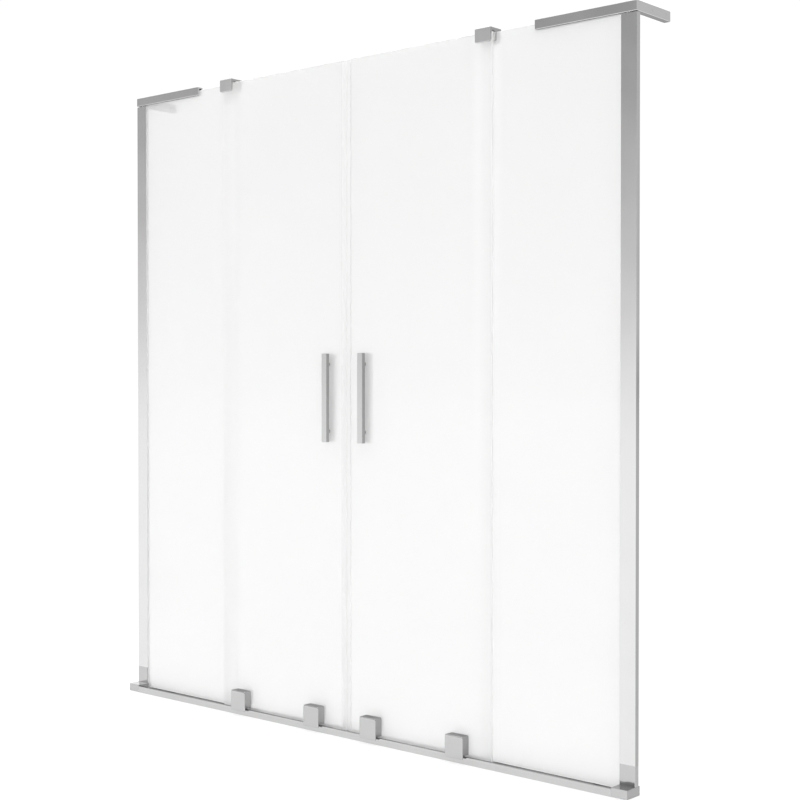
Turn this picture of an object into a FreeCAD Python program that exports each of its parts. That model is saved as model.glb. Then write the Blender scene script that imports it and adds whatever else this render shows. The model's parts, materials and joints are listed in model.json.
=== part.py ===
import FreeCAD, Part
import math
import os

os.makedirs("parts", exist_ok=True)

# Overall sizes, in millimetres.
# X runs along the screen, Y runs back over the bath, Z runs up from the bath rim.
# The middle of the rail's underside is at zero.
screen_width = 1476.0
screen_height = 1500.0

# Clearances
seat = 0.1          # between pieces that are fixed together
run = 0.5           # between the doors and what guides them
bore_gap = 0.05     # all round a shaft or a screw in its hole
slack = 0.25        # on each side of a glass edge in a metal slot
past = 1.0          # how far a cut or a joined root runs past the face it meets

# Glass
glass = 6.0
glass_arris = 0.6
fixed_plane = 12.2      # middle of the fixed glass
door_plane = -0.5       # middle of the door glass
fixed_show = 368.0      # from the wall to the inner edge of a fixed panel
overlap = 33.0          # door over fixed panel when closed
meeting_gap = 12.0      # between the two door glasses, filled by the seals
top_cover = 8.0         # from the top of the brackets down to the fixed glass
door_drop = 0.5         # doors stand this much lower than the fixed glass
door_lift = 10.0        # underside of the door glass above the rim
end_room = 5.0          # left between an open door and the wall profile

# Bottom rail and its end caps
rail_depth = 45.0
rail_floor = 4.0
track_wall = 6.0
track_top = 15.7
slot_wall = 2.5
slot_wall_top = 10.5
fixed_seat = 1.8        # left under the fixed glass for its gasket
rail_round = 1.2
rail_gasket = 1.2
drain_length = 24.0
drain_height = 2.5
drain_pitch = 240.0
cap_length = 36.0
cap_height = 18.0
cap_round = 1.0
cap_end_round = 0.8
tongue_length = 14.0
tongue_height = 5.0
cap_screw_r = 2.0
cap_screw_head_r = 4.0
cap_screw_bite = 2.8

# Wall profiles, their feet and the glazing gasket
profile_width = 35.0
profile_depth = 12.6
profile_wall = 2.0
profile_web = 3.0
profile_round = 1.6
profile_bite = 20.0     # how far the fixed glass goes into the profile
foot_top = 58.0
gasket_lip = 1.0        # gasket showing past the profile
soft_round = 0.4        # rounding on the soft and moulded pieces
wall_screw_r = 2.6
wall_screw_end = 110.0  # from each end of the profile to its first hole

# Top brackets
bracket_length = 235.0
bracket_reach = 123.0       # along the wall, from the bracket's front face
bracket_depth = 15.6
bracket_height = 20.0
bracket_leg = 14.5
bracket_web = 4.0           # over the glass slot
bracket_round = 1.2
bracket_end_round = 1.5
bracket_corner = 2.5
bracket_fillet = 6.0
bracket_gap = 2.0           # between a wall profile and the bracket over it
bracket_hole_r = 2.75
bracket_sink_r = 5.2
bracket_hole_first = 60.0
bracket_hole_pitch = 50.0
bracket_grub_first = 35.0   # from the bracket's open end
bracket_grub_pitch = 130.0

# Top guide clips
clip_width = 40.0
clip_height = 29.0
clip_front = -11.5
clip_back = 24.5
clip_plate = 3.5
clip_web = 6.5
clip_rib_front = 4.0
clip_rib_short = 3.0
clip_corner = 4.5
clip_round = 1.2
clip_past_edge = 4.5        # past the inner edge of the fixed glass
clip_grub_pitch = 18.0
glide_roof = 0.7            # between the door glass and the glide's roof
glide_inset = 1.0           # above the clip's lower edge
glide_end = 7.0             # from each end of the clip
grub_r = 2.5
grub_length = 4.5
hex_r = 1.4
hex_deep = 1.6

# Handles
handle_width = 15.0
handle_depth = 10.0
handle_length = 197.0
handle_mid = 747.5
handle_from_meeting = 54.0
handle_gap = 6.4
handle_round = 1.0
handle_end_round = 0.8
post_r = 5.0
post_inset = 24.0
stud_r = 2.4
stud_bite = 5.5
bush_flange = 0.6
bush_r = 3.9

# Carriages under the doors
carriage_inner = 86.0       # from the meeting line to the inner carriage
carriage_outer = 77.0       # from the outer edge of the door to the outer carriage
cover_width = 47.5
cover_depth = 20.3
cover_overhang = 8.0        # in front of the rail
cover_top = 57.5
cover_lip = 10.5
cover_side = 17.5
cover_wall = 2.5
cover_corner = 4.0
cover_foot_corner = 3.0
cover_edge = 2.0
body_skin = 1.0             # left in front of the clamp screws
body_lift = 1.5             # body above the cover's sides
spacer_width = 29.0
spacer_foot = 24.0
lug_width = 24.0
lug_depth = 3.9
lug_foot = 7.0
lug_gap = 0.6               # between the lug and the track wall
pad = 0.9
clamp_plate = 3.0
clamp_screw_r = 2.4
clamp_screw_head_r = 4.5
clamp_screw_pitch = 18.0
clamp_screw_z = 44.0
glass_hole_r = 3.5

# Rollers
roller_r = 11.0
roller_gap = 0.1
tread = 5.6
flange_r = 13.0
flange_wide = 1.8
flange_gap = 0.3
roller_bevel = 0.5
dish_rim = 2.5
dish_hub = 0.8
dish_deep = 0.7
axle_r = 3.0
axle_head_r = 5.0
axle_head = 1.9
boss_r = 5.5

# Seals and stops
seal_wall = 1.1
seal_grip = 6.0
seal_touch = 0.2            # from the meeting line
fin_base = 10.0
fin_thick = 1.0
fin_gap = 0.6
seal_foot = 20.0
seal_nose = 1.5
seal_short = 2.0            # from the end of a seal to what stands above or below it
stop_length = 12.0
stop_height = 10.0
stop_gap = 0.5

# Places that follow from the sizes above
half = screen_width / 2
rail_front = -rail_depth / 2
rail_back = rail_depth / 2
cap_in = half - cap_length
fixed_front = fixed_plane - glass / 2
fixed_back = fixed_plane + glass / 2
door_front = door_plane - glass / 2
door_back = door_plane + glass / 2
fixed_edge = half - fixed_show
door_outer = fixed_edge + overlap
door_inner = meeting_gap / 2
profile_in = half - profile_width
glass_out = profile_in + profile_bite
fixed_top = screen_height - top_cover
door_top = fixed_top - door_drop
fixed_foot = rail_floor + fixed_seat
bracket_foot = screen_height - bracket_height
bracket_front = fixed_plane - bracket_depth / 2
profile_top = bracket_foot - bracket_gap
clip_in = fixed_edge - clip_past_edge
clip_foot = screen_height - clip_height
travel = profile_in - door_outer - end_room
axle_z = track_top + roller_gap + roller_r
cover_front = rail_front - cover_overhang
cover_back = cover_front + cover_depth
track_inner = rail_front + track_wall
body_back = cover_back - seat
body_front = track_inner + lug_gap
carriages = {"inner": carriage_inner, "outer": door_outer - carriage_outer}
handle_posts = [handle_mid - handle_length / 2 + post_inset, handle_mid + handle_length / 2 - post_inset]
clamp_screws = [-clamp_screw_pitch / 2, clamp_screw_pitch / 2]


def point(x, y, z):
    return FreeCAD.Vector(x, y, z)


def block(x0, x1, y0, y1, z0, z1):
    return Part.makeBox(x1 - x0, y1 - y0, z1 - z0, point(x0, y0, z0))


def rod(axis, centre, r, start, end):
    # A round bar along one axis. The centre gives the two other coordinates, in X, Y, Z order.
    a, b = centre
    base = {"x": (start, a, b), "y": (a, start, b), "z": (a, b, start)}[axis]
    way = {"x": (1, 0, 0), "y": (0, 1, 0), "z": (0, 0, 1)}[axis]
    return Part.makeCylinder(r, end - start, point(*base), point(*way))


def cone(axis, centre, r0, r1, start, end):
    # A cone along one axis, of radius r0 at the start and r1 at the end.
    a, b = centre
    base = {"x": (start, a, b), "y": (a, start, b), "z": (a, b, start)}[axis]
    sign = 1 if end > start else -1
    way = {"x": (sign, 0, 0), "y": (0, sign, 0), "z": (0, 0, sign)}[axis]
    return Part.makeCone(r0, r1, abs(end - start), point(*base), point(*way))


def hexagon(axis, centre, r, start, end):
    # A six-sided bar for a screw's key.
    corners = []
    for i in range(6):
        turn = math.radians(60 * i)
        corners.append((centre[0] + r * math.cos(turn), centre[1] + r * math.sin(turn), 0))
    return slab(axis, corners, start, end)


def outline(corners, place):
    # A flat face from corners (u, v, radius), each rounded by its own radius.
    edges = []
    ends = []
    count = len(corners)
    for i in range(count):
        u, v, r = corners[i]
        before = corners[i - 1]
        after = corners[(i + 1) % count]
        if r == 0:
            ends.append((place(u, v), place(u, v)))
            edges.append(None)
            continue
        back = math.hypot(before[0] - u, before[1] - v)
        ahead = math.hypot(after[0] - u, after[1] - v)
        a = ((before[0] - u) / back, (before[1] - v) / back)
        b = ((after[0] - u) / ahead, (after[1] - v) / ahead)
        half_angle = math.acos(a[0] * b[0] + a[1] * b[1]) / 2
        reach = r / math.tan(half_angle)
        middle = (a[0] + b[0], a[1] + b[1])
        size = math.hypot(*middle)
        drop = r / math.sin(half_angle) - r
        top = (u + middle[0] / size * drop, v + middle[1] / size * drop)
        start = place(u + a[0] * reach, v + a[1] * reach)
        end = place(u + b[0] * reach, v + b[1] * reach)
        ends.append((start, end))
        edges.append(Part.Arc(start, place(*top), end).toShape())
    path = []
    for i in range(count):
        if edges[i] is not None:
            path.append(edges[i])
        a = ends[i][1]
        b = ends[(i + 1) % count][0]
        if a.distanceToPoint(b) > 1e-6:
            path.append(Part.makeLine(a, b))
    return Part.Face(Part.Wire(path))


def slab(axis, corners, start, end):
    # A section drawn across an axis and drawn out along it. Corners are in X, Y, Z order.
    places = {
        "x": lambda u, v: point(start, u, v),
        "y": lambda u, v: point(u, start, v),
        "z": lambda u, v: point(u, v, start),
    }
    way = {"x": (1, 0, 0), "y": (0, 1, 0), "z": (0, 0, 1)}[axis]
    face = outline(corners, places[axis])
    return face.extrude(point(*way) * (end - start))


def panel(u0, u1, v0, v1, r):
    # The four corners of a rectangle, all with one radius.
    return [(u0, v0, r), (u1, v0, r), (u1, v1, r), (u0, v1, r)]


def edges_at(shape, axis, value):
    # The edges that lie in one flat plane.
    found = []
    for edge in shape.Edges:
        box = edge.BoundBox
        low, high = {"x": (box.XMin, box.XMax), "y": (box.YMin, box.YMax), "z": (box.ZMin, box.ZMax)}[axis]
        if abs(low - value) < 1e-4 and abs(high - value) < 1e-4:
            found.append(edge)
    return found


def mirror_x(shape):
    return shape.mirror(point(0, 0, 0), point(1, 0, 0))


def save(name, solids):
    shape = solids[0] if len(solids) == 1 else Part.makeCompound(solids)
    shape.exportStep("parts/" + name + ".step")


def save_pair(name, solids):
    # The right-hand piece as drawn, and the left-hand one as its mirror image.
    save("right_" + name, solids)
    save("left_" + name, [mirror_x(solid) for solid in solids])


def pane(x0, x1, y0, y1, z0, z1):
    # A sheet of glass with its long edges broken.
    sheet = block(x0, x1, y0, y1, z0, z1)
    return sheet.makeChamfer(glass_arris, edges_at(sheet, "y", y0) + edges_at(sheet, "y", y1))


# Bottom rail: a high front wall for the rollers, a channel for the doors, a low slot for the fixed glass
slot_front = fixed_front - rail_gasket
slot_back = fixed_back + rail_gasket
rib_front = slot_front - slot_wall
rail_section = [
    (rail_front, 0, rail_round / 2),
    (rail_back, 0, rail_round / 2),
    (rail_back, slot_wall_top, rail_round),
    (slot_back, slot_wall_top, rail_round),
    (slot_back, rail_floor, 0),
    (slot_front, rail_floor, 0),
    (slot_front, slot_wall_top, rail_round / 2),
    (rib_front, slot_wall_top, rail_round / 2),
    (rib_front, rail_floor, rail_round),
    (track_inner, rail_floor, rail_round),
    (track_inner, track_top, rail_round),
    (rail_front, track_top, rail_round),
]
rail = slab("x", rail_section, -cap_in, cap_in)
for i in (-1, 0, 1):
    middle = i * drain_pitch
    low = middle - drain_length / 2
    high = middle + drain_length / 2
    rail = rail.cut(block(low, high, rib_front - past, rail_back + past,
                          rail_floor, rail_floor + drain_height))
cap_screw_x = cap_in - tongue_length / 2
cap_screw_y = (track_inner + rib_front) / 2
for side in (-1, 1):
    place = (side * cap_screw_x, cap_screw_y)
    rail = rail.cut(rod("z", place, cap_screw_r + bore_gap, rail_floor - cap_screw_bite - seat, rail_floor))
save("bottom_rail", [rail])

# End cap: a solid block with a tongue in the rail's channel and a slot for the fixed glass
cap = slab("x", panel(rail_front, rail_back, 0, cap_height, cap_round), cap_in + seat, half)
cap = cap.makeFillet(cap_end_round, edges_at(cap, "x", half))
tongue_top = rail_floor + tongue_height
tongue = [
    (track_inner + run, rail_floor + seat, rail_round),
    (rib_front - run, rail_floor + seat, rail_round),
    (rib_front - run, tongue_top, 0),
    (track_inner + run, tongue_top, 0),
]
cap = cap.fuse(slab("x", tongue, cap_in - tongue_length, cap_in + past))
cap = cap.cut(block(cap_in - past, glass_out + slack, fixed_front - slack, fixed_back + slack,
                    fixed_foot - slack, cap_height + past))
place = (cap_screw_x, cap_screw_y)
sink = cap_screw_head_r - cap_screw_r
cap = cap.cut(rod("z", place, cap_screw_r + bore_gap, 0, tongue_top + past))
cap = cap.cut(cone("z", place, cap_screw_head_r + bore_gap, cap_screw_r + bore_gap,
                   tongue_top, tongue_top - sink))
save_pair("rail_cap", [cap.removeSplitter()])

screw = cone("z", place, cap_screw_head_r, cap_screw_r, tongue_top, tongue_top - sink)
screw = screw.fuse(rod("z", place, cap_screw_r, rail_floor - cap_screw_bite, tongue_top - sink))
screw = screw.cut(hexagon("z", place, hex_r, tongue_top - hex_deep, tongue_top + past))
save("cap_screws", [screw, mirror_x(screw)])

# Rubber stops in the rail's channel, met by the outer carriages of the open doors
stop_x = carriages["outer"] + lug_width / 2 + travel + stop_gap
stop_back = body_front + lug_depth + 2 * run
stop_section = panel(track_inner + seat, stop_back, rail_floor + seat, rail_floor + stop_height, rail_round)
stop = slab("x", stop_section, stop_x, stop_x + stop_length)
save("rail_stops", [stop, mirror_x(stop)])

# Foot under each wall profile: a block with the glazing slot running down through it
profile_front = fixed_plane - profile_depth / 2
profile_back = fixed_plane + profile_depth / 2
slot_low = profile_front + profile_wall
slot_high = profile_back - profile_wall
gasket_out = glass_out + (slot_high - slot_low - glass) / 2
foot_section = [
    (profile_in, profile_front, profile_round / 2),
    (half, profile_front, profile_round),
    (half, profile_back, profile_round),
    (profile_in, profile_back, profile_round / 2),
    (profile_in, slot_high, 0),
    (gasket_out, slot_high, 0),
    (gasket_out, slot_low, 0),
    (profile_in, slot_low, 0),
]
foot = slab("z", foot_section, cap_height + seat, foot_top)
save_pair("profile_foot", [foot])

# Wall profile: an open channel with screw holes through its web
profile_section = [
    (profile_in, profile_front, profile_round / 2),
    (half, profile_front, profile_round),
    (half, profile_back, profile_round),
    (profile_in, profile_back, profile_round / 2),
    (profile_in, slot_high, profile_round / 2),
    (half - profile_web, slot_high, 0),
    (half - profile_web, slot_low, 0),
    (profile_in, slot_low, profile_round / 2),
]
profile = slab("z", profile_section, foot_top + seat, profile_top)
wall_screw_mid = (foot_top + profile_top) / 2
wall_screw_far = profile_top - foot_top - 2 * wall_screw_end
wall_screw_near = wall_screw_far / 3
for spread in (wall_screw_near, wall_screw_far):
    for side in (-1, 1):
        place = (fixed_plane, wall_screw_mid + side * spread / 2)
        profile = profile.cut(rod("x", place, wall_screw_r, half - profile_web - past, half + past))
save_pair("wall_profile", [profile])

# Glazing gasket: a soft channel round the glass edge, filling the profile
lip_in = profile_in - gasket_lip
gasket_section = [
    (lip_in, slot_low + seat, soft_round),
    (gasket_out - seat, slot_low + seat, 0),
    (gasket_out - seat, slot_high - seat, 0),
    (lip_in, slot_high - seat, soft_round),
    (lip_in, fixed_back + seat, 0),
    (glass_out + seat, fixed_back + seat, 0),
    (glass_out + seat, fixed_front - seat, 0),
    (lip_in, fixed_front - seat, 0),
]
save_pair("glazing_gasket", [slab("z", gasket_section, cap_height + 2 * seat, profile_top)])

# Fixed glass and the soft channel that seats it in the rail
save_pair("fixed_glass", [pane(fixed_edge, glass_out, fixed_front, fixed_back, fixed_foot, fixed_top)])
seat_section = [
    (slot_front + seat, rail_floor + seat, 0),
    (slot_back - seat, rail_floor + seat, 0),
    (slot_back - seat, slot_wall_top, 0),
    (fixed_back + seat, slot_wall_top, 0),
    (fixed_back + seat, fixed_foot - seat, 0),
    (fixed_front - seat, fixed_foot - seat, 0),
    (fixed_front - seat, slot_wall_top, 0),
    (slot_front + seat, slot_wall_top, 0),
]
save_pair("rail_gasket", [slab("x", seat_section, fixed_edge, cap_in - seat)])

# Top bracket: one leg grips the fixed glass, the other runs back along the wall
bracket_back = bracket_front + bracket_depth
bracket_end = bracket_front + bracket_reach
bracket_in = half - bracket_length
corner_x = half - bracket_leg
plan = [
    (bracket_in, bracket_front, bracket_end_round),
    (half, bracket_front, bracket_corner),
    (half, bracket_end, bracket_end_round),
    (corner_x, bracket_end, bracket_end_round),
    (corner_x, bracket_back, bracket_fillet),
    (bracket_in, bracket_back, bracket_end_round),
]
bracket = slab("z", plan, bracket_foot, screen_height)
rims = edges_at(bracket, "z", bracket_foot) + edges_at(bracket, "z", screen_height)
bracket = bracket.makeFillet(bracket_round, rims)
bracket = bracket.cut(block(bracket_in - past, glass_out + slack, fixed_front - slack, fixed_back + slack,
                            bracket_foot - past, screen_height - bracket_web))
bracket_mid = bracket_foot + bracket_height / 2
for i in (0, 1):
    place = (bracket_hole_first + i * bracket_hole_pitch, bracket_mid)
    bracket = bracket.cut(rod("x", place, bracket_hole_r, corner_x - past, half + past))
    sink = bracket_sink_r - bracket_hole_r
    bracket = bracket.cut(cone("x", place, bracket_sink_r, bracket_hole_r, corner_x, corner_x + sink))
grub_places = []
bracket_grub_z = (bracket_foot + fixed_top) / 2
for i in (0, 1):
    grub_places.append((bracket_in + bracket_grub_first + i * bracket_grub_pitch, bracket_grub_z))
for place in grub_places:
    bracket = bracket.cut(rod("y", place, grub_r + bore_gap, fixed_plane, bracket_back + past))
save_pair("top_bracket", [bracket.removeSplitter()])

# Top guide clip: an upside-down E that grips the fixed glass and guides the door
web_foot = screen_height - clip_web
clip_section = [
    (clip_front, screen_height, clip_round),
    (clip_front, clip_foot, clip_round / 2),
    (clip_front + clip_plate, clip_foot, clip_round / 2),
    (clip_front + clip_plate, web_foot, clip_round / 2),
    (clip_rib_front, web_foot, clip_round / 2),
    (clip_rib_front, clip_foot + clip_rib_short, clip_round / 2),
    (fixed_front - slack, clip_foot + clip_rib_short, clip_round / 2),
    (fixed_front - slack, fixed_top + slack, 0),
    (fixed_back + slack, fixed_top + slack, 0),
    (fixed_back + slack, clip_foot, clip_round / 2),
    (clip_back, clip_foot, clip_round / 2),
    (clip_back, screen_height, clip_round),
]
clip = slab("x", clip_section, clip_in, clip_in + clip_width)
face = [(clip_in, clip_foot, clip_corner), (clip_in + clip_width, clip_foot, clip_corner),
        (clip_in + clip_width, screen_height, clip_round), (clip_in, screen_height, clip_round)]
clip = clip.common(slab("y", face, clip_front - past, clip_back + past))
clip_mid = clip_in + clip_past_edge / 2 + clip_width / 2
clip_grub_z = (clip_foot + fixed_top) / 2
for side in (-1, 1):
    place = (clip_mid + side * clip_grub_pitch / 2, clip_grub_z)
    clip = clip.cut(rod("y", place, grub_r + bore_gap, fixed_plane, clip_back + past))
    grub_places.append(place)
save_pair("guide_clip", [clip])

# Plastic glide in the clip, open below for the top edge of the door
glide_front = clip_front + clip_plate + seat
glide_back = clip_rib_front - seat
glide_section = [
    (glide_front, clip_foot + glide_inset, soft_round),
    (door_front - run, clip_foot + glide_inset, soft_round),
    (door_front - run, door_top + glide_roof, 0),
    (door_back + run, door_top + glide_roof, 0),
    (door_back + run, clip_foot + clip_rib_short, 0),
    (glide_back, clip_foot + clip_rib_short, 0),
    (glide_back, web_foot - seat, clip_round / 2),
    (glide_front, web_foot - seat, clip_round / 2),
]
save_pair("clip_glide", [slab("x", glide_section, clip_in + glide_end, clip_in + clip_width - glide_end)])

grubs = []
grub_end = fixed_back + grub_length
for place in grub_places:
    grub = rod("y", place, grub_r, fixed_back + bore_gap, grub_end)
    grub = grub.cut(hexagon("y", place, hex_r, grub_end - hex_deep, grub_end + past))
    grubs.append(grub)
save("grub_screws", grubs + [mirror_x(grub) for grub in grubs])

# Door glass, with holes for the handle studs and the carriage screws
door = pane(door_inner, door_outer, door_front, door_back, door_lift, door_top)
for z in handle_posts:
    place = (handle_from_meeting, z)
    door = door.cut(rod("y", place, bush_r + bore_gap, door_front - past, door_back + past))
for middle in carriages.values():
    for shift in clamp_screws:
        place = (middle + shift, clamp_screw_z)
        door = door.cut(rod("y", place, glass_hole_r, door_front - past, door_back + past))
save_pair("door_glass", [door])

# Handle: a square bar on two round posts, the same on both faces of the glass
post_end = door_front - bush_flange - seat
bar_back = door_front - handle_gap
bar_front = bar_back - handle_depth
bar_foot = handle_mid - handle_length / 2
bar_left = handle_from_meeting - handle_width / 2
bar_section = panel(bar_left, bar_left + handle_width, bar_front, bar_back, handle_round)
bar_top = bar_foot + handle_length
bar = slab("z", bar_section, bar_foot, bar_top)
bar = bar.makeFillet(handle_end_round, edges_at(bar, "z", bar_foot) + edges_at(bar, "z", bar_top))
for z in handle_posts:
    place = (handle_from_meeting, z)
    bar = bar.fuse(rod("y", place, post_r, bar_back - handle_round, post_end))
for z in handle_posts:
    place = (handle_from_meeting, z)
    bar = bar.cut(rod("y", place, stud_r + bore_gap, bar_back - stud_bite - seat, post_end + past))
bar = bar.removeSplitter()
save_pair("outer_handle", [bar])
save_pair("inner_handle", [bar.mirror(point(0, door_plane, 0), point(0, 1, 0))])

# Studs that join the two handles, and the flanged bushes that keep metal off the glass
studs = []
bushes = []
for z in handle_posts:
    place = (handle_from_meeting, z)
    stud_front = bar_back - stud_bite
    studs.append(rod("y", place, stud_r, stud_front, 2 * door_plane - stud_front))
    bush = rod("y", place, post_r, door_front - bush_flange, door_front)
    bush = bush.fuse(rod("y", place, bush_r, door_front - bush_flange, door_plane - seat / 2))
    bush = bush.cut(rod("y", place, stud_r + bore_gap, post_end - past, door_back)).removeSplitter()
    bushes.append(bush)
    bushes.append(bush.mirror(point(0, door_plane, 0), point(0, 1, 0)))
save_pair("handle_studs", studs)
save_pair("handle_bushes", bushes)

# Carriages: cover, body with its guide lug, roller on a shoulder axle, and a clamp behind the glass
axles = []
pads = []
screws = []
body_foot = cover_side + body_lift
body_top = cover_top - cover_wall - seat
spacer_back = door_front - pad - 2 * seat
clamp_front = door_back + pad + 2 * seat
clamp_back = clamp_front + clamp_plate
roller_back = track_inner - (track_wall - tread) / 2
roller_face = roller_back - tread
flange_back = rail_front - flange_gap
flange_front = flange_back - flange_wide
boss_front = roller_back + 2 * bore_gap
for name, middle in carriages.items():
    left = middle - cover_width / 2
    right = middle + cover_width / 2

    # Cover: a rounded box, hollow from behind, with its front wall hanging over the rail
    cover_face = [
        (left, cover_lip, cover_foot_corner),
        (right, cover_lip, cover_foot_corner),
        (right, cover_top, cover_corner),
        (left, cover_top, cover_corner),
    ]
    cover = slab("y", cover_face, cover_front, cover_back)
    cover = cover.makeFillet(cover_edge, edges_at(cover, "y", cover_front))
    inside = panel(left + cover_wall, right - cover_wall, 0, cover_top - cover_wall, cover_edge)
    cover = cover.cut(slab("y", inside, cover_front + cover_wall, cover_back + past))
    cover = cover.cut(block(left - past, right + past, cover_front + cover_wall, cover_back + past,
                            0, cover_side))
    save_pair("carriage_cover_" + name, [cover])

    # Body: plate, axle boss, spacer to the glass, and a lug that runs behind the track wall
    reach = cover_width / 2 - cover_wall - seat
    centre = (middle, axle_z)
    plate_face = panel(middle - reach, middle + reach, body_foot, body_top, cover_edge)
    spacer_left = middle - spacer_width / 2
    spacer_face = panel(spacer_left, spacer_left + spacer_width, spacer_foot, body_top, cover_edge)
    lug_left = middle - lug_width / 2
    body = slab("y", plate_face, body_front, body_back)
    body = body.fuse(slab("y", spacer_face, body_back - past, spacer_back))
    body = body.fuse(block(lug_left, lug_left + lug_width, body_front, body_front + lug_depth,
                           lug_foot, body_foot + past))
    body = body.fuse(rod("y", centre, boss_r, boss_front, body_front + past))
    body = body.cut(rod("y", centre, axle_r + bore_gap, boss_front - past, spacer_back + past))
    for shift in clamp_screws:
        place = (middle + shift, clamp_screw_z)
        body = body.cut(rod("y", place, clamp_screw_r + bore_gap, body_front + body_skin, spacer_back + past))
    save_pair("carriage_body_" + name, [body.removeSplitter()])

    # Roller: a flat tread with one flange outside the rail, turned round its bore
    ring_section = [
        (axle_r + bore_gap, flange_front, 0),
        (flange_r - roller_bevel, flange_front, 0),
        (flange_r, flange_front + roller_bevel, 0),
        (flange_r, flange_back - roller_bevel, 0),
        (roller_r, roller_face, 0),
        (roller_r, roller_back - roller_bevel, 0),
        (roller_r - roller_bevel, roller_back, 0),
        (axle_r + bore_gap, roller_back, 0),
    ]
    ring = outline(ring_section, lambda u, v: point(middle + u, v, axle_z))
    roller = ring.revolve(point(middle, 0, axle_z), point(0, 1, 0), 360)
    dish = rod("y", centre, flange_r - dish_rim, flange_front - past, flange_front + dish_deep)
    dish = dish.cut(rod("y", centre, axle_head_r + dish_hub, flange_front - past, flange_back))
    roller = roller.cut(dish)
    save_pair("roller_" + name, [roller])

    # Axle: a shoulder pin with a flat head in front of the roller
    head_back = flange_front - 3 * bore_gap
    head_front = head_back - axle_head
    axle = rod("y", centre, axle_r, head_back, spacer_back - seat)
    axle = axle.fuse(rod("y", centre, axle_head_r, head_front, head_back))
    axle = axle.cut(hexagon("y", centre, hex_r, head_front - past, head_front + hex_deep))
    axles.append(axle)

    # Clamp plate behind the glass, its screws, and a soft pad on each face of the glass
    clamp = slab("y", spacer_face, clamp_front, clamp_back)
    sheet = slab("y", spacer_face, door_front - pad - seat, door_front - seat)
    sink = clamp_screw_head_r - clamp_screw_r
    for shift in clamp_screws:
        place = (middle + shift, clamp_screw_z)
        clamp = clamp.cut(rod("y", place, clamp_screw_r + bore_gap, clamp_front - past, clamp_back + past))
        clamp = clamp.cut(cone("y", place, clamp_screw_head_r + bore_gap, clamp_screw_r + bore_gap,
                               clamp_back, clamp_back - sink))
        sheet = sheet.cut(rod("y", place, glass_hole_r, spacer_back - past, door_front + past))
        screw = cone("y", place, clamp_screw_head_r, clamp_screw_r, clamp_back, clamp_back - sink)
        screw = screw.fuse(rod("y", place, clamp_screw_r, body_front + body_skin + seat, clamp_back - sink))
        screw = screw.cut(hexagon("y", place, hex_r, clamp_back - hex_deep, clamp_back + past))
        screws.append(screw)
    save_pair("carriage_clamp_" + name, [clamp])
    pads.append(sheet)
    pads.append(sheet.mirror(point(0, door_plane, 0), point(0, 1, 0)))
save_pair("roller_axles", axles)
save_pair("carriage_pads", pads)
save_pair("carriage_screws", screws)

# Seal on the meeting edge of each door: a channel on the glass and a rounded nose at the middle
seal_front = door_front - seat - seal_wall
seal_back = door_back + seat + seal_wall
grip_end = door_inner + seal_grip
meeting_section = [
    (seal_touch, seal_front, seal_nose),
    (grip_end, seal_front, soft_round),
    (grip_end, door_front - seat, 0),
    (door_inner - seat, door_front - seat, 0),
    (door_inner - seat, door_back + seat, 0),
    (grip_end, door_back + seat, 0),
    (grip_end, seal_back, soft_round),
    (seal_touch, seal_back, seal_nose),
]
save_pair("meeting_seal", [slab("z", meeting_section, door_lift + seal_short, door_top - seal_short)])

# Seal by the outer edge of each door: a strip on the back of the glass and a fin towards the fixed panel
strip_in = door_outer - fin_base
strip_out = door_outer - glass_arris - seat
fin_root = strip_out - 2 * fin_thick
fin_lean = strip_in + fin_thick
fin_tip = fixed_front - fin_gap
fin_section = [
    (strip_in, door_back + seat, 0),
    (strip_out, door_back + seat, 0),
    (strip_out, seal_back, soft_round),
    (fin_root + fin_thick, seal_back, 0),
    (fin_lean + fin_thick, fin_tip, 0),
    (fin_lean, fin_tip, 0),
    (fin_root, seal_back, 0),
    (strip_in, seal_back, soft_round),
]
save_pair("overlap_seal", [slab("z", fin_section, seal_foot, clip_foot - seal_short)])
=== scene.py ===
import bpy
import bmesh
import json
import math
from mathutils import Matrix, Vector


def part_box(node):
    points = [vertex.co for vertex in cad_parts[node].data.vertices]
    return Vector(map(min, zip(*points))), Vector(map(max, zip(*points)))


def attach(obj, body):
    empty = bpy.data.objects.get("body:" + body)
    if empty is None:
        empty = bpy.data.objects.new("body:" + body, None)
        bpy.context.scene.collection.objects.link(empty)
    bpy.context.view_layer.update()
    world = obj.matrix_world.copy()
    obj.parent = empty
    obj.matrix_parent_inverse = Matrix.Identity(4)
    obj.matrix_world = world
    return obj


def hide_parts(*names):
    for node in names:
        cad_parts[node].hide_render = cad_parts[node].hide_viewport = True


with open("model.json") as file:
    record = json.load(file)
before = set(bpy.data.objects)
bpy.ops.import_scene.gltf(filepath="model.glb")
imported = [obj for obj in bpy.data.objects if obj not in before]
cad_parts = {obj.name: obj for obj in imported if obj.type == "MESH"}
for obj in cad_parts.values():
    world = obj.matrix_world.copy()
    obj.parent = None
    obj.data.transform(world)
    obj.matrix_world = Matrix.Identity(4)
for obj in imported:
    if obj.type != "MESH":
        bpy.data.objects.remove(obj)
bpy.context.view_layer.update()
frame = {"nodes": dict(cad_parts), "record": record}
nodes = frame["nodes"]
scene = bpy.context.scene
sides = {"left": -1, "right": 1}    # each side, and the way along x that leads outwards there
print("frame loaded:", len(nodes), "nodes")


# camera, matched to the photograph's straight edges
cameraSettings = {
    "place": (2.2092, -2.3498, 0.7879),
    "turn": 41.178,         # degrees to the left of straight back
    "tilt": 0.797,          # degrees below level
    "focal": 1458.94,       # in pixels of the image
    "imageWidth": 800,
    "sensor": 36.0,
    "farClip": 200.0,
}


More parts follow.
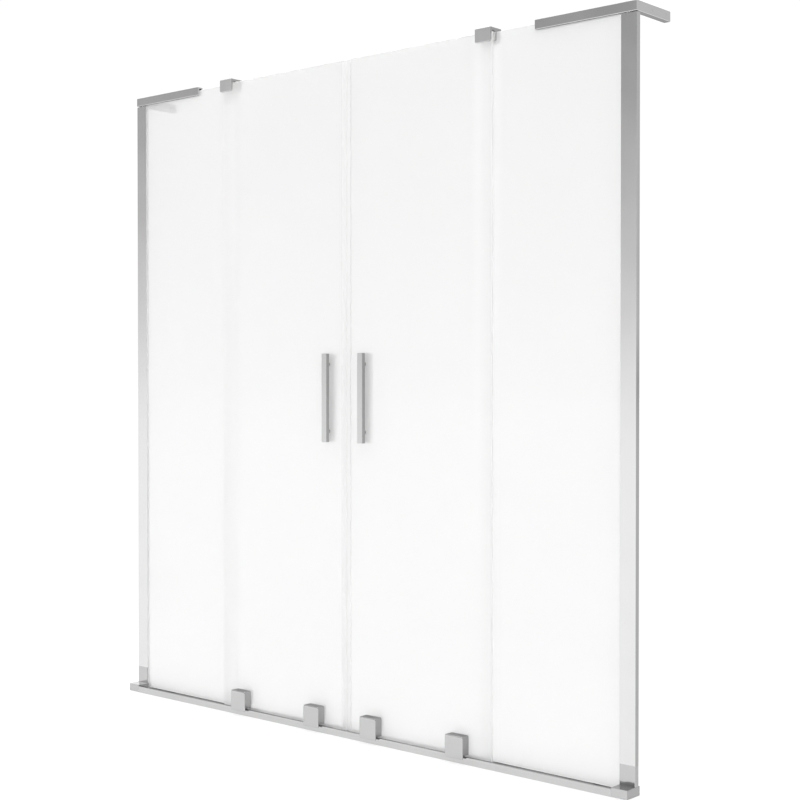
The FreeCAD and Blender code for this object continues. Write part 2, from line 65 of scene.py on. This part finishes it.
def addCamera(s):
    data = bpy.data.cameras.new("screenCamera")
    data.sensor_width = s["sensor"]
    data.lens = s["focal"] * s["sensor"] / s["imageWidth"]
    data.clip_end = s["farClip"]
    camera = bpy.data.objects.new("screenCamera", data)
    camera.location = s["place"]
    camera.rotation_euler = (math.radians(90 - s["tilt"]), 0, math.radians(s["turn"]))
    scene.collection.objects.link(camera)
    scene.camera = camera


addCamera(cameraSettings)
scene.view_settings.view_transform = "Standard"
# keeps the light that the panes pass on to each other
scene.cycles.blur_glossy = 0.0
bounces = {"max": 64, "diffuse": 32, "glossy": 32, "transmission": 32}
for kind, count in bounces.items():
    setattr(scene.cycles, kind + "_bounces", count)
print("camera set")


# small helpers for node trees
noiseRange = (0.3, 0.7)     # where nearly all of a noise texture's values lie


def grey(value):
    return (value, value, value)


def makeNode(tree, kind, inputs=None, **props):
    node = tree.nodes.new(kind)
    for key, value in props.items():
        setattr(node, key, value)
    for key, value in (inputs or {}).items():
        node.inputs[key].default_value = value
    return node


def makeRamp(tree, stops):
    ramp = tree.nodes.new("ShaderNodeValToRGB")
    elements = ramp.color_ramp.elements
    while len(elements) < len(stops):
        elements.new(0.5)
    for element, (place, colour) in zip(elements, stops):
        element.position = place
        element.color = (*colour, 1)
    return ramp


def smoothRange(tree, source, low, high, toLow=0.0, toHigh=1.0):
    node = makeNode(tree, "ShaderNodeMapRange", interpolation_type="SMOOTHSTEP")
    for key, value in (("From Min", low), ("From Max", high), ("To Min", toLow), ("To Max", toHigh)):
        node.inputs[key].default_value = value
    tree.links.new(source, node.inputs["Value"])
    return node.outputs["Result"]


def splitAxes(tree, source):
    split = makeNode(tree, "ShaderNodeSeparateXYZ")
    tree.links.new(source, split.inputs[0])
    return split.outputs


def withoutSign(tree, source):
    node = makeNode(tree, "ShaderNodeMath", operation="ABSOLUTE")
    tree.links.new(source, node.inputs[0])
    return node.outputs[0]


def multiply(tree, first, second):
    node = makeNode(tree, "ShaderNodeMath", operation="MULTIPLY")
    tree.links.new(first, node.inputs[0])
    tree.links.new(second, node.inputs[1])
    return node.outputs[0]


def mixGrey(tree, share, colour, value, blend="MIX"):
    mix = makeNode(tree, "ShaderNodeMix", data_type="RGBA", blend_type=blend)
    mix.inputs[7].default_value = (*grey(value), 1)     # 6 and 7 are the node's two colours, 2 is their mix
    tree.links.new(share, mix.inputs[0])
    tree.links.new(colour, mix.inputs[6])
    return mix.outputs[2]


def startMaterial(name):
    material = bpy.data.materials.new(name)
    material.use_nodes = True
    tree = material.node_tree
    shader = tree.nodes["Principled BSDF"]
    place = makeNode(tree, "ShaderNodeTexCoord").outputs["Object"]
    return material, tree, shader, place


def addNoise(tree, place, scale, detail=3.0, stretch=(1, 1, 1)):
    turn = makeNode(tree, "ShaderNodeMapping", {"Scale": stretch})
    noise = makeNode(tree, "ShaderNodeTexNoise", {"Scale": scale, "Detail": detail})
    tree.links.new(place, turn.inputs["Vector"])
    tree.links.new(turn.outputs["Vector"], noise.inputs["Vector"])
    return noise.outputs["Fac"]


def addTone(tree, noise, dark, light):
    ramp = makeRamp(tree, list(zip(noiseRange, (dark, light))))
    tree.links.new(noise, ramp.inputs["Fac"])
    return ramp.outputs["Color"]


def addRoughness(tree, shader, noise, rough):
    tree.links.new(smoothRange(tree, noise, *noiseRange, *rough), shader.inputs["Roughness"])


def addBump(tree, shader, noise, strength, height):
    bump = makeNode(tree, "ShaderNodeBump", {"Strength": strength, "Distance": height})
    tree.links.new(noise, bump.inputs["Height"])
    tree.links.new(bump.outputs["Normal"], shader.inputs["Normal"])


# soft studio light: bright from the floor, greyer at eye level, a wide light overhead, and two upright cards
studio = {
    "heights": (            # how bright the room is, from straight down at 0 to straight up at 1
        (0.00, 1.05), (0.48, 1.17), (0.50, 1.01), (0.53, 0.75), (0.565, 0.575),
        (0.595, 0.455), (0.62, 0.36), (0.75, 0.34), (0.88, 1.76), (1.00, 1.76),
    ),
    "cards": (              # the white backdrop, then the wall to the right
        {"way": (-0.658, 0.753, 0.0), "light": 1.03, "across": (0.80, 0.93), "up": (0.27, 0.36)},
        {"way": (0.658, 0.753, 0.0), "light": 0.65, "across": (0.35, 0.80), "up": (0.40, 0.50)},
    ),
}


def addStudio(s):
    world = bpy.data.worlds.new("paleStudio")
    world.use_nodes = True
    tree = world.node_tree
    tree.nodes.clear()
    links = tree.links
    way = makeNode(tree, "ShaderNodeTexCoord").outputs["Generated"]
    upward = splitAxes(tree, way)["Z"]
    height = makeNode(tree, "ShaderNodeMapRange", {"From Min": -1.0, "From Max": 1.0})
    links.new(upward, height.inputs["Value"])
    sky = makeRamp(tree, [(place, grey(light)) for place, light in s["heights"]])
    links.new(height.outputs["Result"], sky.inputs["Fac"])
    colour = sky.outputs["Color"]
    for card in s["cards"]:
        dot = makeNode(tree, "ShaderNodeVectorMath", {1: card["way"]}, operation="DOT_PRODUCT")
        links.new(way, dot.inputs[0])
        across = smoothRange(tree, dot.outputs["Value"], *card["across"])
        below = smoothRange(tree, upward, *card["up"], 1.0, 0.0)
        colour = mixGrey(tree, multiply(tree, across, below), colour, card["light"])
    shine = makeNode(tree, "ShaderNodeBackground")
    links.new(colour, shine.inputs["Color"])
    out = makeNode(tree, "ShaderNodeOutputWorld")
    links.new(shine.outputs[0], out.inputs["Surface"])
    scene.world = world


addStudio(studio)


floorSettings = {
    "radius": 60.0, "segments": 96,
    "drop": 0.0004,             # just under the rail
    "front": grey(0.28),        # the floor where the doors' fronts look
    "behind": grey(0.21),       # a little greyer behind the screen
    "change": (-0.2, 1.2),      # metres over which it changes, from front to back
    "glow": 0.75,               # lit from below, so that shadows on it stay pale
    "rough": 0.7, "shine": 0.2,
    "cloud": 0.02, "cloudScale": 3.0, "cloudDetail": 4.0,
}


def paleFloor(s):
    material, tree, shader, place = startMaterial("paleFloor")
    shader.inputs["Roughness"].default_value = s["rough"]
    shader.inputs["Specular IOR Level"].default_value = s["shine"]
    shader.inputs["Emission Color"].default_value = (1, 1, 1, 1)
    shader.inputs["Emission Strength"].default_value = s["glow"]
    cloud = addNoise(tree, place, s["cloudScale"], s["cloudDetail"])
    depth = smoothRange(tree, splitAxes(tree, place)["Y"], *s["change"])
    wander = makeNode(tree, "ShaderNodeMath", {1: s["cloud"]}, operation="MULTIPLY_ADD")
    tree.links.new(cloud, wander.inputs[0])
    tree.links.new(depth, wander.inputs[2])
    tone = makeRamp(tree, [(0.0, s["front"]), (1.0, s["behind"])])
    tree.links.new(wander.outputs[0], tone.inputs["Fac"])
    tree.links.new(tone.outputs["Color"], shader.inputs["Base Color"])
    return material


def addFloor(s):
    bm = bmesh.new()
    bmesh.ops.create_circle(bm, cap_ends=True, segments=s["segments"], radius=s["radius"])
    bmesh.ops.translate(bm, verts=bm.verts, vec=(0, 0, -s["drop"]))
    mesh = bpy.data.meshes.new("studioFloor")
    bm.to_mesh(mesh)
    bm.free()
    mesh.materials.append(paleFloor(s))
    floor = bpy.data.objects.new("studioFloor", mesh)
    scene.collection.objects.link(floor)


addFloor(floorSettings)
print("studio ready")


# polished metal, which every chromed piece shares
chromeLook = {
    "spread": 0.03,             # how far the tone wanders
    "smudge": 7.0,
    "rough": (0.13, 0.20),
    "grazing": grey(0.65),      # duller where it is seen at a low angle
    "turned": (0.6, 0.95),      # how squarely a face looks along an axis before it gets that way's painted light or shade
    "rearShade": 0.70,               # painted shade on the back, as a share of the front's tone
    "grain": 900.0, "grainDetail": 2.0, "grainStrength": 0.06, "grainHeight": 0.00001,
    "drawn": {"x": (0.02, 1, 1), "z": (1, 1, 0.02), "none": (1, 1, 1)},     # the way that its faint lines run
}


# painted light and shade: multiplies the tone of the faces that look along an axis, so they read darker or
# lighter by the way they face
def paintFacingLight(tree, colour, axis, share, bothWays=True, below=None, s=chromeLook):
    normal = makeNode(tree, "ShaderNodeNewGeometry").outputs["Normal"]
    turned = splitAxes(tree, normal)[axis]
    if bothWays:
        turned = withoutSign(tree, turned)
    facingLightMask = smoothRange(tree, turned, *s["turned"])
    if below:           # only under these heights
        place = makeNode(tree, "ShaderNodeTexCoord").outputs["Object"]
        low = smoothRange(tree, splitAxes(tree, place)["Z"], *below, 1.0, 0.0)
        facingLightMask = multiply(tree, facingLightMask, low)
    return mixGrey(tree, facingLightMask, colour, share, "MULTIPLY")


# tone is the share of light that the front sends back
# the narrow sides and the tops and undersides get their own shares of it, painted shade below 1 and painted
# highlight above below some heights the sides can get more painted shade, and from some depth on a painted
# light brightens the metal; the back always gets painted shade
def polishedChrome(name, tone, drawn, side=1.0, lidPaintedLight=1.0, lowSidePaintedShade=None, insidePaintedLight=None, metal=1.0, s=chromeLook):
    material, tree, shader, place = startMaterial(name)
    shader.inputs["Metallic"].default_value = metal
    shader.inputs["Specular Tint"].default_value = (*s["grazing"], 1)
    smudge = addNoise(tree, place, s["smudge"])
    grain = addNoise(tree, place, s["grain"], s["grainDetail"], s["drawn"][drawn])
    colour = addTone(tree, smudge, grey(tone * (1 - s["spread"])), grey(tone * (1 + s["spread"])))
    # painted shade or highlight on the narrow sides, tops and undersides
    colour = paintFacingLight(tree, colour, "X", side)
    colour = paintFacingLight(tree, colour, "Z", lidPaintedLight)
    # more painted shade on the sides below some heights
    if lowSidePaintedShade:
        colour = paintFacingLight(tree, colour, "X", lowSidePaintedShade["share"], below=lowSidePaintedShade["heights"])
    # painted light that brightens the metal from some depth on
    if insidePaintedLight:
        start, end = (insidePaintedLight["front"] + depth for depth in insidePaintedLight["depths"])
        deep = smoothRange(tree, splitAxes(tree, place)["Y"], start, end)
        colour = mixGrey(tree, deep, colour, insidePaintedLight["tone"])
    # painted shade on the back
    colour = paintFacingLight(tree, colour, "Y", s["rearShade"], bothWays=False)
    tree.links.new(colour, shader.inputs["Base Color"])
    addRoughness(tree, shader, smudge, s["rough"])
    addBump(tree, shader, grain, s["grainStrength"], s["grainHeight"])
    return material


# scatters a share of the light, part of it onwards through the surface
def addMilk(tree, shader, colour, share, through):
    matt = makeNode(tree, "ShaderNodeBsdfDiffuse")
    glow = makeNode(tree, "ShaderNodeBsdfTranslucent")
    tree.links.new(colour, matt.inputs["Color"])
    tree.links.new(colour, glow.inputs["Color"])
    scatter = makeNode(tree, "ShaderNodeMixShader", {0: through})
    tree.links.new(matt.outputs[0], scatter.inputs[1])
    tree.links.new(glow.outputs[0], scatter.inputs[2])
    whole = makeNode(tree, "ShaderNodeMixShader")
    tree.links.new(share, whole.inputs[0])
    tree.links.new(shader.outputs[0], whole.inputs[1])
    tree.links.new(scatter.outputs[0], whole.inputs[2])
    tree.links.new(whole.outputs[0], tree.nodes["Material Output"].inputs["Surface"])


# satin glass: clear, with a thin white skin on the front and the edges that scatters light forwards and back
glassLook = {
    "tone": grey(1.0), "ior": 1.5,
    "skinDark": grey(0.995), "skinLight": grey(1.0),
    "skinShare": 0.68,      # share of light that the skin scatters
    "skinThrough": 0.42,    # share of that which it scatters forwards
    "skinRough": (0.05, 0.08),
    "skinEnd": 0.02,        # share of the thickness, at the back, over which the skin ends
    "backRough": 0.04,
    "paintedShadeHeights": (0.3, 1.5), "paintedShadeTop": 0.95,    # painted shade: the skin is a little greyer towards the top
    "paintedShadeEdge": 0.025,      # but the painted shade stops where the door covers the fixed pane
    "cloud": 3.0,
    "grain": 1800.0, "grainDetail": 2.0, "grainStrength": 0.15, "grainHeight": 0.00003,
}


# covered is how far from the middle the overlap ends on this pane, and away is the way that leads off it
def satinGlass(name, node, covered, away, s=glassLook):
    low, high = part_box(node)
    material, tree, shader, place = startMaterial(name)
    links = tree.links
    shader.inputs["Base Color"].default_value = (*s["tone"], 1)
    shader.inputs["Transmission Weight"].default_value = 1.0
    shader.inputs["IOR"].default_value = s["ior"]
    axes = splitAxes(tree, place)
    thin = (high.y - low.y) * s["skinEnd"]
    skin = smoothRange(tree, axes["Y"], high.y - 2 * thin, high.y - thin, 1.0, 0.0)     # none on the back
    cloud = addNoise(tree, place, s["cloud"])
    rough = makeNode(tree, "ShaderNodeMix", {2: s["backRough"]}, data_type="FLOAT")
    links.new(skin, rough.inputs[0])
    links.new(smoothRange(tree, cloud, *noiseRange, *s["skinRough"]), rough.inputs[3])
    links.new(rough.outputs[0], shader.inputs["Roughness"])
    grain = addNoise(tree, place, s["grain"], s["grainDetail"])
    addBump(tree, shader, grain, s["grainStrength"], s["grainHeight"])
    # painted shade: the skin greys towards the top, except where the door covers the fixed pane
    uncovered = smoothRange(tree, withoutSign(tree, axes["X"]), covered, covered + away * s["paintedShadeEdge"])
    paintedShadeAmount = multiply(tree, uncovered, smoothRange(tree, axes["Z"], *s["paintedShadeHeights"]))
    kept = makeNode(tree, "ShaderNodeMath", {1: s["paintedShadeTop"] - 1.0, 2: 1.0}, operation="MULTIPLY_ADD")
    links.new(paintedShadeAmount, kept.inputs[0])
    white = makeNode(tree, "ShaderNodeVectorMath", operation="SCALE")
    links.new(addTone(tree, cloud, s["skinDark"], s["skinLight"]), white.inputs[0])
    links.new(kept.outputs[0], white.inputs["Scale"])
    share = smoothRange(tree, skin, 0.0, 1.0, 0.0, s["skinShare"])
    addMilk(tree, shader, white.outputs[0], share, s["skinThrough"])
    return material


# frosted vinyl, whiter than clear
vinylLook = {
    "dark": grey(0.985), "light": grey(0.995),
    "rough": (0.10, 0.18),
    "ior": 1.3,
    "milk": (0.98, 0.99), "through": 0.15,
    "cloud": 8.0,
}


def frostedVinyl(name, s=vinylLook):
    material, tree, shader, place = startMaterial(name)
    shader.inputs["Transmission Weight"].default_value = 1.0
    shader.inputs["IOR"].default_value = s["ior"]
    cloud = addNoise(tree, place, s["cloud"])
    white = addTone(tree, cloud, s["dark"], s["light"])
    tree.links.new(white, shader.inputs["Base Color"])
    addRoughness(tree, shader, cloud, s["rough"])
    addMilk(tree, shader, white, smoothRange(tree, cloud, *noiseRange, *s["milk"]), s["through"])
    return material


# nylon and rubber
plasticLook = {
    "ior": 1.45, "cloud": 25.0,
    "grain": 1500.0, "grainDetail": 2.0, "grainStrength": 0.05, "grainHeight": 0.00001,
}


def mouldedPlastic(name, dark, light, rough, s=plasticLook):
    material, tree, shader, place = startMaterial(name)
    shader.inputs["IOR"].default_value = s["ior"]
    cloud = addNoise(tree, place, s["cloud"])
    tree.links.new(addTone(tree, cloud, dark, light), shader.inputs["Base Color"])
    addRoughness(tree, shader, cloud, rough)
    grain = addNoise(tree, place, s["grain"], s["grainDetail"])
    addBump(tree, shader, grain, s["grainStrength"], s["grainHeight"])
    return material


# cast and turned metal of the hidden pieces
metalLook = {"cloud": 60.0, "grainDetail": 3.0, "grainStrength": 0.25, "grainHeight": 0.00004}


def bareMetal(name, dark, light, rough, grainScale, s=metalLook):
    material, tree, shader, place = startMaterial(name)
    shader.inputs["Metallic"].default_value = 1.0
    cloud = addNoise(tree, place, s["cloud"])
    tree.links.new(addTone(tree, cloud, dark, light), shader.inputs["Base Color"])
    addRoughness(tree, shader, cloud, rough)
    grain = addNoise(tree, place, grainScale, s["grainDetail"])
    addBump(tree, shader, grain, s["grainStrength"], s["grainHeight"])
    return material


# painted light brightens the rail behind its front wall, inside the channel, and painted shade darkens the
# right profile's side below these heights
trackInsideLight = {"front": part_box("bottom_rail")[0].y, "depths": (0.0062, 0.0068), "tone": 0.90}
profileLowShade = {"heights": (0.76, 0.92), "share": 0.60}
# a door and a fixed pane overlap between these edges
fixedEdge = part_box("right_fixed_glass")[0].x
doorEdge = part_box("right_door_glass")[1].x

# each chrome look carries painted shade and highlight on its sides, tops and back
looks = {
    "polished_rail": polishedChrome("polishedRail", 0.59, "x", lidPaintedLight=0.42, insidePaintedLight=trackInsideLight),
    "polished_profile": polishedChrome("polishedProfile", 0.75, "z", side=1.25),
    "polished_foot": polishedChrome("polishedFoot", 0.55, "z", side=0.80),
    "polished_bracket": polishedChrome("polishedBracket", 0.74, "x", lidPaintedLight=0.42),
    "polished_clip": polishedChrome("polishedClip", 0.95, "none", side=0.54, lidPaintedLight=0.42),
    "polished_cover": polishedChrome("polishedCover", 0.56, "none", side=0.73, lidPaintedLight=0.58),
    "polished_handle": polishedChrome("polishedHandle", 0.61, "z", side=0.65),
    "fixed_glass": satinGlass("fixedSatinGlass", "left_fixed_glass", doorEdge, 1),
    "door_glass": satinGlass("doorSatinGlass", "left_door_glass", fixedEdge, -1),
    "clear_seal": frostedVinyl("clearSeal"),
    "clear_pad": frostedVinyl("clearPad"),
    "grey_gasket": frostedVinyl("paleGasket"),
    "white_nylon": mouldedPlastic("whiteNylon", (0.82, 0.82, 0.80), (0.88, 0.88, 0.86), (0.35, 0.5)),
    "roller_nylon": mouldedPlastic("rollerNylon", (0.72, 0.72, 0.70), (0.80, 0.80, 0.78), (0.35, 0.5)),
    "black_rubber": mouldedPlastic("blackRubber", grey(0.02), grey(0.035), (0.6, 0.75)),
    "cast_body": bareMetal("castBody", (0.50, 0.51, 0.52), (0.58, 0.59, 0.60), (0.38, 0.5), 700.0),
    "steel": bareMetal("brightSteel", (0.55, 0.55, 0.56), (0.62, 0.62, 0.63), (0.2, 0.32), 1500.0),
}
# inner handles behind the glass, with painted highlight on their sides
innerHandleLook = polishedChrome("polishedInnerHandle", 0.58, "z", side=1.5)
# pieces with their own painted light and shade: lighter or darker sides and tops than the others in their
# slot
ownPaintedLightLooks = {
    "right_wall_profile": polishedChrome("polishedRightProfile", 0.75, "z", side=0.90, lowSidePaintedShade=profileLowShade),
    "left_rail_cap": polishedChrome("polishedLeftCap", 0.57, "x", side=0.70, lidPaintedLight=1.5, metal=0.40),
    "right_rail_cap": polishedChrome("polishedRightCap", 0.57, "x", side=0.70, lidPaintedLight=0.75, metal=0.65),
    "left_inner_handle": innerHandleLook,
    "right_inner_handle": innerHandleLook,
}


def dressNodes():
    slots = {row["node"]: row["material_slot"] for row in frame["record"]["subparts"]}
    for name, node in nodes.items():
        node.data.materials.clear()
        node.data.materials.append(ownPaintedLightLooks.get(name, looks[slots[name]]))


dressNodes()
print("materials assigned to", len(nodes), "nodes")


# soft pieces: a line across the piece, pulled along its length, then given a wall
wallSettings = {
    "segments": 2,
    "sharp": 50.0,          # degrees from which an edge is rounded
}
mergeDistance = 0.000001


def runTo(bm, vert, place):
    end = bmesh.ops.extrude_vert_indiv(bm, verts=[vert])["verts"][0]
    end.co = place
    return end


def turnRound(bm, vert, centre, axis, degrees, steps):
    made = bmesh.ops.spin(bm, geom=[vert], cent=centre, axis=axis, angle=math.radians(degrees), steps=steps)
    return made["geom_last"][0]


def pullAlong(bm, way):
    made = bmesh.ops.extrude_edge_only(bm, edges=bm.edges[:])["geom"]
    bmesh.ops.translate(bm, verts=[item for item in made if isinstance(item, bmesh.types.BMVert)], vec=way)


def bodyOf(node):
    return next(body for body, members in frame["record"]["behaviour"]["bodies"].items() if node in members)


def placePiece(bm, name, look, body):
    bmesh.ops.remove_doubles(bm, verts=bm.verts, dist=mergeDistance)
    bmesh.ops.recalc_face_normals(bm, faces=bm.faces)
    mesh = bpy.data.meshes.new(name)
    bm.to_mesh(mesh)
    bm.free()
    mesh.materials.append(look)
    piece = bpy.data.objects.new(name, mesh)
    scene.collection.objects.link(piece)
    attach(piece, body)
    return piece


def addWall(piece, wall, edge, s=wallSettings):
    thick = piece.modifiers.new("wall", "SOLIDIFY")
    thick.thickness = wall
    thick.offset = 0.0
    rounding = piece.modifiers.new("edges", "BEVEL")
    rounding.width = edge
    rounding.segments = s["segments"]
    rounding.limit_method = "ANGLE"
    rounding.angle_limit = math.radians(s["sharp"])


# a finished soft piece takes the place of its plain node
def finishSoft(bm, node, slot, along, s):
    pullAlong(bm, along)
    piece = placePiece(bm, node + "_vinyl", looks[slot], bodyOf(node))
    addWall(piece, s["wall"], s["edge"])
    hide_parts(node)


# how far from the middle of the screen a box begins and ends
def spanAcross(low, high):
    return sorted((abs(low.x), abs(high.x)))


# seal on each door's meeting edge: two legs that grip the glass, a hollow round nose and a web between them
meetingSeal = {"wall": 0.0010, "edge": 0.0003, "gap": 0.0001, "noseSteps": 16}


def addMeetingSeal(side, s):
    node = side + "_meeting_seal"
    low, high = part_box(node)
    way = sides[side]
    tip, grip = spanAcross(low, high)
    glassEdge = spanAcross(*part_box(side + "_door_glass"))[0]
    half = s["wall"] / 2
    front, back, foot = low.y + half, high.y - half, low.z
    reach = (back - front) / 2
    noseMiddle = (way * (tip + half + reach), (front + back) / 2, foot)
    webX = way * (glassEdge - s["gap"] - half)
    bm = bmesh.new()
    vert = bm.verts.new((way * grip, front, foot))
    vert = runTo(bm, vert, (noseMiddle[0], front, foot))
    vert = turnRound(bm, vert, noseMiddle, (0, 0, 1), -180 * way, s["noseSteps"])
    runTo(bm, vert, (way * grip, back, foot))
    vert = bm.verts.new((webX, front + half + s["gap"], foot))
    runTo(bm, vert, (webX, back - half - s["gap"], foot))
    finishSoft(bm, node, "clear_seal", (0, 0, high.z - low.z), s)


# seal behind the outer edge of each door: a flat strip on the glass and a curved fin towards the fixed pane
overlapSeal = {"wall": 0.0008, "edge": 0.0002, "inset": 0.0015, "bend": 50.0, "finSteps": 10}


def addOverlapSeal(side, s):
    node = side + "_overlap_seal"
    low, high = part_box(node)
    way = sides[side]
    inner, outer = spanAcross(low, high)
    half = s["wall"] / 2
    strip = low.y + half
    root = Vector((way * (outer - s["inset"]), strip + s["wall"], low.z))
    tip = Vector((way * (inner + s["inset"]), high.y - half, low.z))
    chord = tip - root
    square = Vector((-chord.y, chord.x, 0)) * way
    centre = (root + tip) / 2 - square / (2 * math.tan(math.radians(s["bend"]) / 2))
    bm = bmesh.new()
    vert = bm.verts.new((way * inner, strip, low.z))
    runTo(bm, vert, (way * outer, strip, low.z))
    vert = bm.verts.new(root)
    turnRound(bm, vert, centre, (0, 0, 1), -s["bend"] * way, s["finSteps"])
    finishSoft(bm, node, "clear_seal", (0, 0, high.z - low.z), s)


# soft channel round the outer edge of each fixed pane, and the one under it in the rail
gasketSettings = {"wall": 0.0010, "edge": 0.0003}


def addGlazingGasket(side, s):
    node = side + "_glazing_gasket"
    low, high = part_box(node)
    way = sides[side]
    inner, outer = spanAcross(low, high)
    half = s["wall"] / 2
    lip, deep = way * inner, way * (outer - half)
    front, back = low.y + half, high.y - half
    bm = bmesh.new()
    vert = bm.verts.new((lip, front, low.z))
    for x, y in ((deep, front), (deep, back), (lip, back)):
        vert = runTo(bm, vert, (x, y, low.z))
    finishSoft(bm, node, "grey_gasket", (0, 0, high.z - low.z), s)


def addRailGasket(side, s):
    node = side + "_rail_gasket"
    low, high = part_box(node)
    half = s["wall"] / 2
    front, back, deep = low.y + half, high.y - half, low.z + half
    bm = bmesh.new()
    vert = bm.verts.new((low.x, front, high.z))
    for y, z in ((front, deep), (back, deep), (back, high.z)):
        vert = runTo(bm, vert, (low.x, y, z))
    finishSoft(bm, node, "grey_gasket", (high.x - low.x, 0, 0), s)


for side in sides:
    addMeetingSeal(side, meetingSeal)
    addOverlapSeal(side, overlapSeal)
    addGlazingGasket(side, gasketSettings)
    addRailGasket(side, gasketSettings)
print("seals and gaskets made")


# flush plugs that shut the screw holes in the faces against the wall
plugSettings = {
    "gap": 0.00004,         # round each plug
    "sunk": 0.00005,        # below the wall face
    "deep": 0.0012,
    "edge": 0.00015, "edgeSegments": 2,
    "rimAngle": 1.0,        # radians between faces at a rim, at least
    "segments": 32,
}


def addPlugs(name, mounts, look, s):
    bm = bmesh.new()
    sideways = Matrix.Rotation(math.radians(90), 3, "Y")
    for mount in mounts:
        sizes = mount["dims"]
        radius = sizes["hole_r_mm"] / 1000 - s["gap"]
        apart = Vector((0, sizes.get("spacing_x_mm", 0), sizes.get("spacing_y_mm", 0))) / 1000
        outward = mount["axis"][0]
        for end in (-0.5, 0.5):
            made = bmesh.ops.create_cone(bm, cap_ends=True, segments=s["segments"], radius1=radius,
                                         radius2=radius, depth=s["deep"])["verts"]
            bmesh.ops.rotate(bm, verts=made, cent=(0, 0, 0), matrix=sideways)
            place = Vector(mount["pos_m"]) + apart * end
            place.x -= outward * (s["sunk"] + s["deep"] / 2)
            bmesh.ops.translate(bm, verts=made, vec=place)
    rims = [edge for edge in bm.edges if edge.calc_face_angle() > s["rimAngle"]]
    bmesh.ops.bevel(bm, geom=rims, offset=s["edge"], affect="EDGES", segments=s["edgeSegments"], profile=0.5,
                    material=-1)
    placePiece(bm, name, look, "frame")


def holesIn(words):
    mounts = frame["record"]["mounts"]
    return [mount for mount in mounts if words in mount["name"] and "holes" in mount["name"]]


for side in sides:
    profile = side + "_profile"
    profileLook = ownPaintedLightLooks.get(side + "_wall_profile", looks["polished_profile"])
    addPlugs(profile + "_hole_plugs", holesIn(profile), profileLook, plugSettings)
bracketLook = looks["polished_bracket"]
addPlugs("bracket_hole_plugs", holesIn("bracket"), bracketLook, plugSettings)
print("plugs set")
